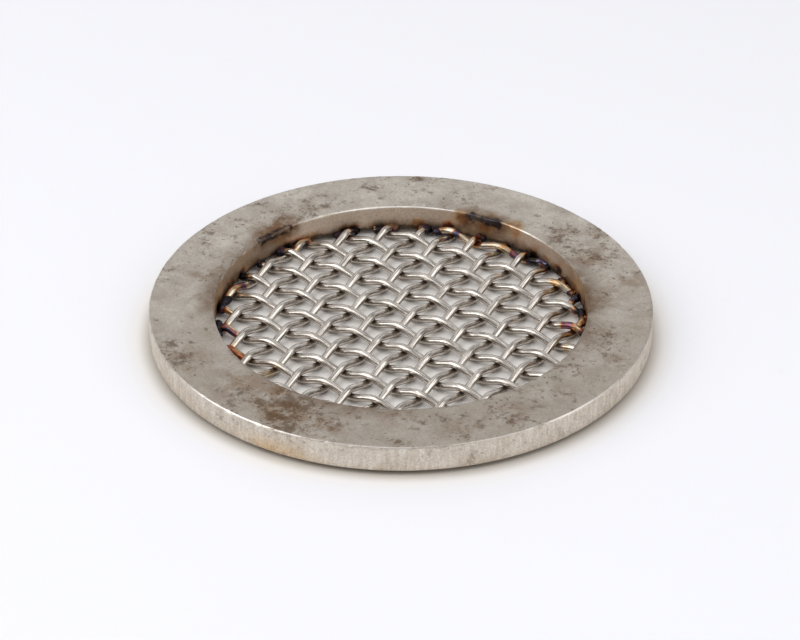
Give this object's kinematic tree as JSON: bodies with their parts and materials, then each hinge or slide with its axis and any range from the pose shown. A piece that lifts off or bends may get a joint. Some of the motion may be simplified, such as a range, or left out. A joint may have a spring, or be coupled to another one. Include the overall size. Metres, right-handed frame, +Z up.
{
  "type": "drain screen",
  "caption": "Flat steel ring with a disc of plain-woven wire cloth tack-welded into its bore, hanging slightly below the ring's underside.",
  "frame": {"origin": "centre of the ring's bore, at the height of the lowest wires of the cloth, on the surface that the screen rests on", "axes": "+Z up through the bore, towards the open side of the recess; +X along the warp wires of the cloth"},
  "size_m": [0.0888, 0.0888, 0.0056],
  "materials": {
    "ring_plate": "matte",
    "drawn_wire": "satin",
    "weld_metal": "satin"
  },
  "bodies": {
    "root": {"ring": "ring_plate", "tack_welds": "weld_metal", "warp_wire_01": "drawn_wire", "warp_wire_02": "drawn_wire", "warp_wire_03": "drawn_wire", "warp_wire_04": "drawn_wire", "warp_wire_05": "drawn_wire", "warp_wire_06": "drawn_wire", "warp_wire_07": "drawn_wire", "warp_wire_08": "drawn_wire", "warp_wire_09": "drawn_wire", "warp_wire_10": "drawn_wire", "warp_wire_11": "drawn_wire", "warp_wire_12": "drawn_wire", "weft_wire_01": "drawn_wire", "weft_wire_02": "drawn_wire", "weft_wire_03": "drawn_wire", "weft_wire_04": "drawn_wire", "weft_wire_05": "drawn_wire", "weft_wire_06": "drawn_wire", "weft_wire_07": "drawn_wire", "weft_wire_08": "drawn_wire", "weft_wire_09": "drawn_wire", "weft_wire_10": "drawn_wire", "weft_wire_11": "drawn_wire", "weft_wire_12": "drawn_wire", "weft_wire_13": "drawn_wire"}
  },
  "joints": []
}
